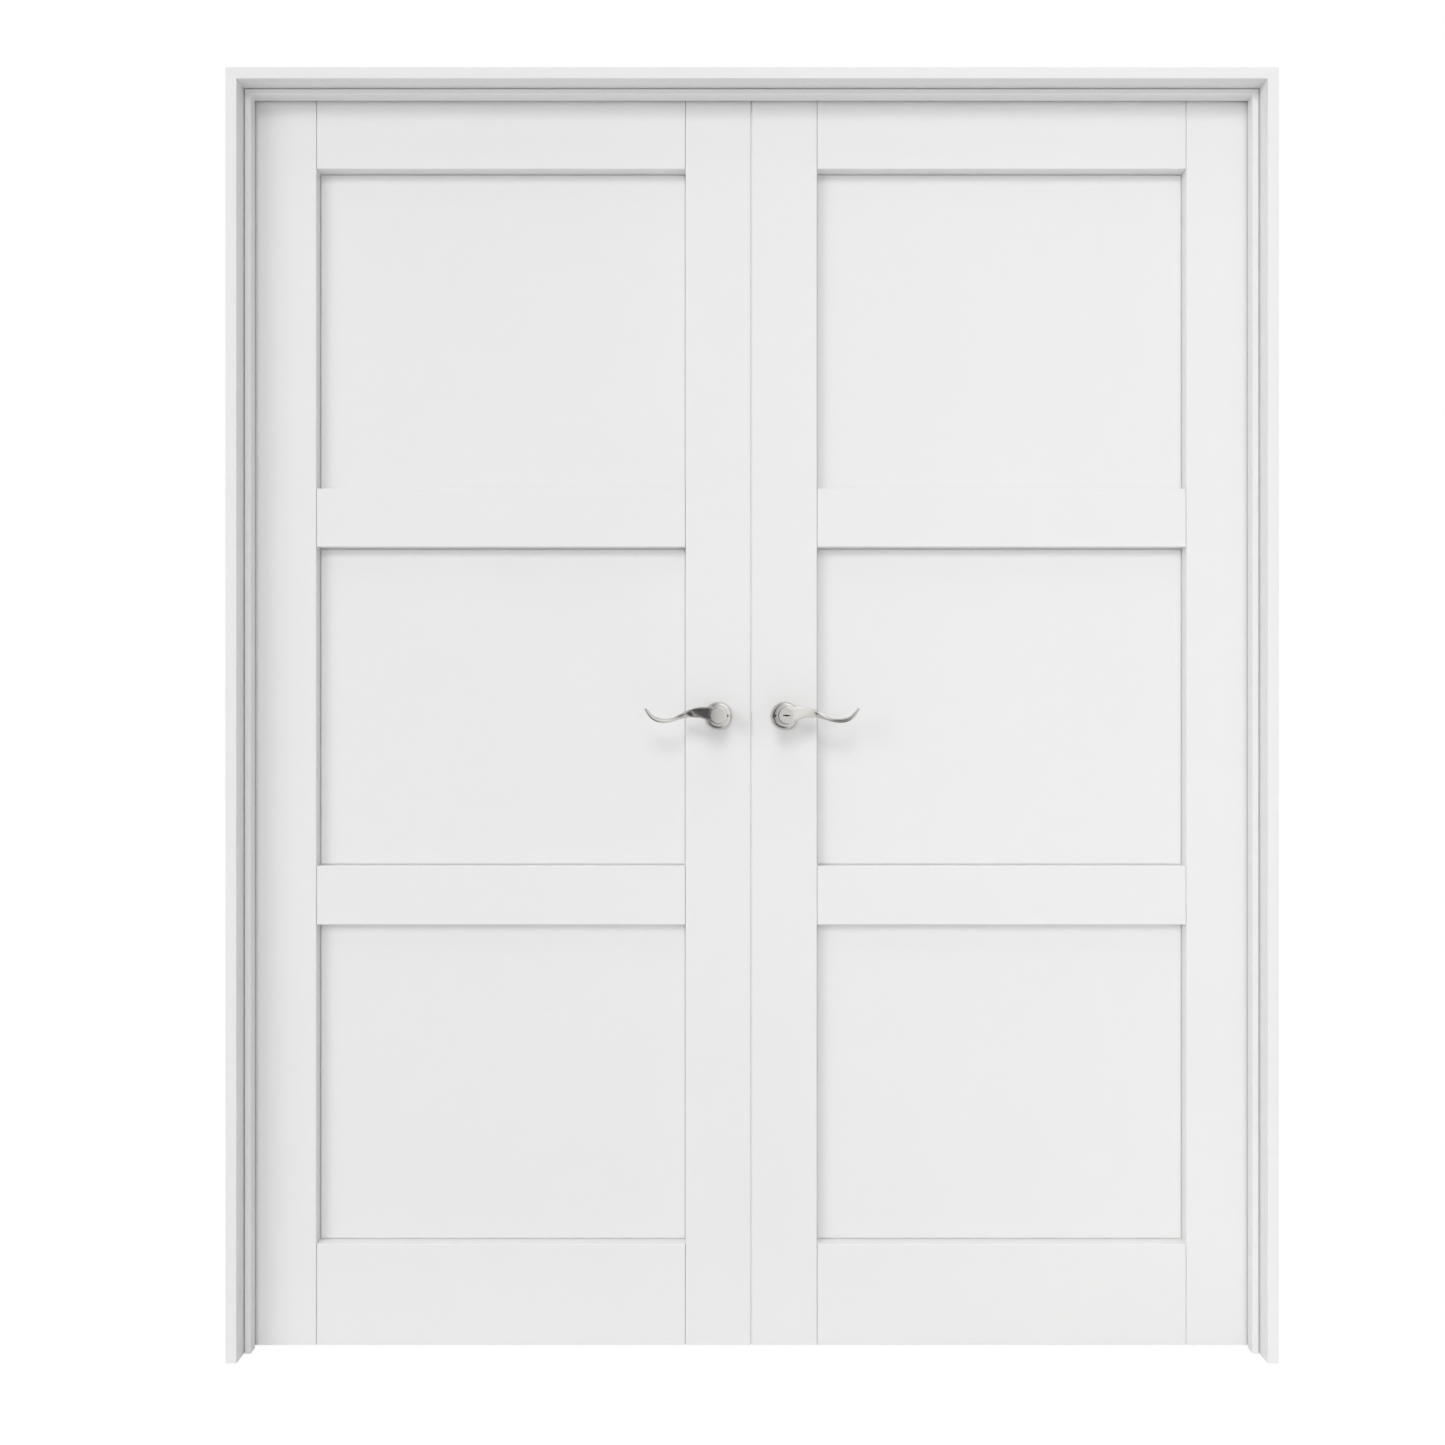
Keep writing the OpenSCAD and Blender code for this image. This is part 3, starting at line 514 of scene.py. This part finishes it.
# %% [markdown]
# ## Screws with a cross in the head
# A screw is modelled at the origin, head up. A cross of twelve points is sunk into the head, its rim is
# bridged to the round rim of the head, and that rim is drawn out ring by ring, down the head to the shank
# and the tip. A wood screw and a bolt differ only in their rings, so a short list of them is all that each
# needs. The finished screw is then turned and set in its seat.

# %% The cross, and the rings of both kinds
WOOD_SHANK = 0.5
WOOD_CONE = 0.55
WOOD_TIP = 0.003
WOOD_POINT = 0.02
BOLT_SHANK = 0.625
BOLT_HEAD = 0.0022
BOLT_ROUND = 0.0003
CROSS_REACH = 0.56
CROSS_WIDTH = 0.15
CROSS_DEPTH = 0.42
CROSS_TAPER = 0.45


def sink_cross(shape, radius):
    """A cross recess in the plane z = 0, tapering to its floor: gives back the edges of its mouth."""
    reach, half = CROSS_REACH * radius, CROSS_WIDTH * radius
    quarter = [(reach, -half), (reach, half), (half, half)]
    corners = []
    for turn in range(4):
        spun = Matrix.Rotation(turn * math.pi / 2, 3, "Z")
        corners += [shape.verts.new(spun @ Vector((x, y, 0))) for x, y in quarter]
    mouth = shape.faces.new(corners)
    rim = list(mouth.edges)
    sunk = bmesh.ops.extrude_discrete_faces(shape, faces=[mouth])["faces"]
    floor_corners = sunk[0].verts[:]
    bmesh.ops.scale(shape, vec=(CROSS_TAPER, CROSS_TAPER, 1), verts=floor_corners)
    bmesh.ops.translate(shape, vec=(0, 0, -CROSS_DEPTH * radius), verts=floor_corners)
    return rim


def wood_screw(length, radius):
    """Depth and share of the head's radius at each ring of a countersunk screw, from its rim down."""
    cone = WOOD_CONE * radius
    return [(0, 1), (cone, WOOD_SHANK), (length - WOOD_TIP, WOOD_SHANK), (length, WOOD_POINT)]


def pan_bolt(length, radius):
    """The same for a bolt with a flat-sided head, whose rim is eased."""
    eased = 1 - BOLT_ROUND / radius
    return [(0, eased), (BOLT_ROUND, 1), (BOLT_HEAD, 1), (BOLT_HEAD, BOLT_SHANK), (length, BOLT_SHANK)]


_, _, length, radius = SEATS["frame_screws"][0]
print("rings of a frame screw:", wood_screw(length, radius))

# %% One screw, and all of them
HEAD_SIDES = 24


def add_screw(shape, rings, head, way, length, radius):
    """A screw of the given rings whose head lies at its seat."""
    part = bmesh.new()
    rim = sink_cross(part, radius)
    top, *below = rings(length, radius)
    ring = bmesh.ops.create_circle(part, segments=HEAD_SIDES, radius=top[1] * radius)["verts"]
    edges = [edge for edge in part.edges if edge.verts[0] in ring and edge.verts[1] in ring]
    bmesh.ops.bridge_loops(part, edges=[edge for edge in rim if edge.is_valid] + edges)
    for depth, share in below:
        grown = bmesh.ops.extrude_edge_only(part, edges=edges)["geom"]
        ring = [item for item in grown if isinstance(item, bmesh.types.BMVert)]
        edges = [item for item in grown if isinstance(item, bmesh.types.BMEdge)]
        wide = max(corner.co.xy.length for corner in ring)
        bmesh.ops.scale(part, vec=(share * radius / wide, share * radius / wide, 1), verts=ring)
        bmesh.ops.translate(part, vec=(0, 0, -depth - ring[0].co.z), verts=ring)
    bmesh.ops.holes_fill(part, edges=edges)
    bmesh.ops.recalc_face_normals(part, faces=part.faces)
    turn = Vector((0, 0, -1)).rotation_difference(way).to_matrix().to_4x4()
    part.transform(Matrix.Translation(head) @ turn)
    mesh = plain_mesh("one_screw", part)
    shape.from_mesh(mesh)
    bpy.data.meshes.remove(mesh)


for node, seats in SEATS.items():
    shape = bmesh.new()
    for seat in seats:
        add_screw(shape, pan_bolt if node.endswith("_bolts") else wood_screw, *seat)
    stand_in(node, made_mesh(node, shape), "crossed")
print("crossed screws for", SCREW_NODES)

# %% [markdown]
# ## Seals at the meeting edges
# Two leaves need a gap of a few millimetres to swing past each other, and a soft fin on each meeting edge
# closes most of it against draught and light. A fin is thin trim, so it is made here: a short tapered
# profile is drawn in plan, pushed up the height of the leaf and bevelled along its tip. Each rides on its own
# leaf, just behind the front faces and in front of the latch.

# %% Seal fins
SEAL_REACH = 0.0014
SEAL_ROOT = 0.0012
SEAL_TIP = 0.0005
SEAL_DEPTH = 0.0032
SEAL_ROUND = 0.0002


def seal_fin(side):
    low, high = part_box(f"{side}_meeting_stile")
    root = high.x if side == "left" else low.x
    tip = root + (SEAL_REACH if side == "left" else -SEAL_REACH)
    middle_y = low.y + SEAL_DEPTH
    plan = [
        (root, middle_y - SEAL_ROOT / 2),
        (tip, middle_y - SEAL_TIP / 2),
        (tip, middle_y + SEAL_TIP / 2),
        (root, middle_y + SEAL_ROOT / 2),
    ]
    shape = bmesh.new()
    foot = shape.faces.new([shape.verts.new((x, y, low.z)) for x, y in plan])
    grown = bmesh.ops.extrude_face_region(shape, geom=[foot], use_keep_orig=True)["geom"]
    top = [item for item in grown if isinstance(item, bmesh.types.BMVert)]
    bmesh.ops.translate(shape, vec=(0, 0, high.z - low.z), verts=top)
    tip_edges = [
        edge for edge in shape.edges
        if edge.calc_length() > SEAL_ROOT and all(abs(corner.co.x - tip) < MERGE for corner in edge.verts)
    ]
    bmesh.ops.bevel(
        shape, geom=tip_edges, offset=SEAL_ROUND, segments=2, profile=0.5, affect="EDGES", material=-1
    )
    bmesh.ops.recalc_face_normals(shape, faces=shape.faces)
    piece = place_in_scene(f"{side}_seal_fin", made_mesh(f"{side}_seal_fin", shape))
    piece.data.materials.append(LACQUER_UPRIGHT)
    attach(piece, f"{side}_leaf")


for side in ("left", "right"):
    seal_fin(side)
print("a seal fin on each meeting edge")

# %% [markdown]
# ## The camera
# The doors are seen straight on, from a little left of their middle and from half their height. The lens is
# fairly wide, which is why the inner faces of the frame open up so much towards the edges.

# %% Camera
EYE = Vector((-0.047, -1.718, 1.016))
FOCAL_MM = 25.93
SENSOR_MM = 36.0

camera = place_in_scene("camera", bpy.data.cameras.new("camera"))
camera.data.lens = FOCAL_MM
camera.data.sensor_width = SENSOR_MM
camera.location = EYE
camera.rotation_euler = (math.pi / 2, 0, 0)
bpy.context.scene.camera = camera
print("camera at", tuple(EYE))

# %% [markdown]
# ## Lamps
# Large soft lamps light the doors, with white walls all round. One stands far to the left and makes the soft
# shade beside the left jamb and beside every left edge. One stands above the camera and makes the shade
# under the head and under the levers. One hangs overhead and brightens the upward faces of the rails, which
# keeps the lower edge of each panel faint. The last lights the back, for a look from the hinge side, and
# hardly reaches the front. Sun lamps are chosen because their light is even over so wide an object.

# %% Lamps
LAMPS = {
    "side_lamp": {"from": Vector((-2.7, -2.8, 1.0)), "strength": 0.86, "spread": math.radians(34)},
    "top_lamp": {"from": Vector((-0.2, -3.2, 2.35)), "strength": 0.77, "spread": math.radians(22)},
    "overhead_lamp": {"from": Vector((0.1, -0.6, 3.0)), "strength": 0.60, "spread": math.radians(40)},
    "back_lamp": {"from": Vector((1.9, 3.0, 2.0)), "strength": 1.40, "spread": math.radians(34)},
}

for name, facts in LAMPS.items():
    data = bpy.data.lights.new(name, "SUN")
    data.energy = facts["strength"]
    data.angle = facts["spread"]
    lamp = place_in_scene(name, data)
    lamp.rotation_euler = (-facts["from"]).to_track_quat("-Z", "Y").to_euler()
    lamp.visible_glossy = False
print("lamps:", list(LAMPS))

# %% [markdown]
# ## White walls
# To the camera, in reflections and through glass the walls are plain white. As a light they are dimmer, so
# that the pale lacquer keeps its tone. The kind of ray decides which of the two it meets.

# %% World
WALLS = 0.455
WHITE = (1, 1, 1)


def seen_plainly(tree):
    """1 for a ray from the camera, off a gloss or through glass, and 0 for light that bounces about."""
    light_path = tree.nodes.new("ShaderNodeLightPath")
    kinds = ("Camera", "Glossy", "Transmission")
    seen, *others = (Wire(light_path.outputs[f"Is {kind} Ray"]) for kind in kinds)
    for ray in others:
        seen = seen.math("MAXIMUM", seen, ray)
    return seen


world = bpy.data.worlds.new("white_walls")
bpy.context.scene.world = world
world.use_nodes = True
background = world.node_tree.nodes["Background"]
strength = WALLS + (1 - WALLS) * seen_plainly(world.node_tree)
world.node_tree.links.new(strength.socket, background.inputs["Strength"])
background.inputs["Color"].default_value = (*WHITE, 1)
print("white walls that light at", WALLS)

# %% [markdown]
# ## Cards for the metal
# Metal shows what is round it, so cards that only reflections can see stand about the doors, as a
# photographer sets them for brushed metal: dark ones on the left, low down and above, a bright one on the
# right, a soft box overhead, and two dark ones behind for the fittings of the back.

# %% Cards
CARD_Y = 2.4
LOW_Z = 0.02
DARK = (0.05, 0.05, 0.055)


def card(name, corners, colour, strength):
    """A flat card that only reflections see."""
    shape = bmesh.new()
    shape.faces.new([shape.verts.new(corner) for corner in corners])
    mesh = plain_mesh(name, shape)
    material = bpy.data.materials.new(name)
    material.use_nodes = True
    tree = material.node_tree
    tree.nodes.remove(tree.nodes["Principled BSDF"])
    glow = tree.nodes.new("ShaderNodeEmission")
    glow.inputs["Color"].default_value = (*colour, 1)
    glow.inputs["Strength"].default_value = strength
    tree.links.new(glow.outputs[0], tree.nodes["Material Output"].inputs["Surface"])
    mesh.materials.append(material)
    piece = place_in_scene(name, mesh)
    piece.visible_camera = piece.visible_diffuse = False
    piece.visible_shadow = piece.visible_transmission = False


def upright(left, right, bottom, top, y=-CARD_Y):
    return [(left, y, bottom), (right, y, bottom), (right, y, top), (left, y, top)]


def level(left, right, front, back, height):
    return [(left, front, height), (right, front, height), (right, back, height), (left, back, height)]


card("dark_card", upright(-4.6, -0.40, -0.6, 3.2), DARK, 1.0)
card("bright_card", upright(0.5, 3.4, 0.4, 3.2), WHITE, 1.25)
card("low_card", level(-1.6, 0.3, -1.7, -0.25, LOW_Z), DARK, 1.0)
card("back_dark_card", upright(0.5, 4.0, -0.6, 2.8, CARD_Y), DARK, 1.0)
card("back_low_card", level(-0.4, 1.4, 0.25, 1.7, LOW_Z), DARK, 1.0)
card("dark_top", level(-1.1, -0.15, -1.15, -0.4, 2.6), DARK, 1.0)
card("soft_box", level(0.2, 2.6, -2.4, -0.6, 3.4), WHITE, 1.8)
print("seven cards")

# %% [markdown]
# ## Floor
# The floor is pale and plain. To the camera it is nearly as white as the walls, and it keeps a trace of the
# frame's shadow, so that the feet of the jambs stand on something. So two shaders are mixed: the pale floor
# that takes light, and for rays that are seen plainly mostly a white glow.

# %% Floor
FLOOR_HALF = 12.0
FLOOR_GREY = (0.75, 0.75, 0.75, 1)
FLOOR_ROUGH = 0.9
FLOOR_WHITE = 0.86
FLOOR_GLOW = 1.06

shape = bmesh.new()
bmesh.ops.create_grid(shape, x_segments=1, y_segments=1, size=FLOOR_HALF)
floor = place_in_scene("floor", plain_mesh("floor", shape))
floor_finish, floor_shader, _ = start_finish("pale_floor", roughness=FLOOR_ROUGH, base_color=FLOOR_GREY)
tree = floor_finish.node_tree
white = tree.nodes.new("ShaderNodeEmission")
white.inputs["Strength"].default_value = FLOOR_GLOW
mixed = tree.nodes.new("ShaderNodeMixShader")
tree.links.new((FLOOR_WHITE * seen_plainly(tree)).socket, mixed.inputs[0])
tree.links.new(floor_shader.outputs[0], mixed.inputs[1])
tree.links.new(white.outputs[0], mixed.inputs[2])
tree.links.new(mixed.outputs[0], tree.nodes["Material Output"].inputs["Surface"])
floor.data.materials.append(floor_finish)
print("floor laid")

# %% [markdown]
# ## Closing
# The colours are shown as they are written, with no film look.

# %% View
bpy.context.scene.view_settings.view_transform = "Standard"
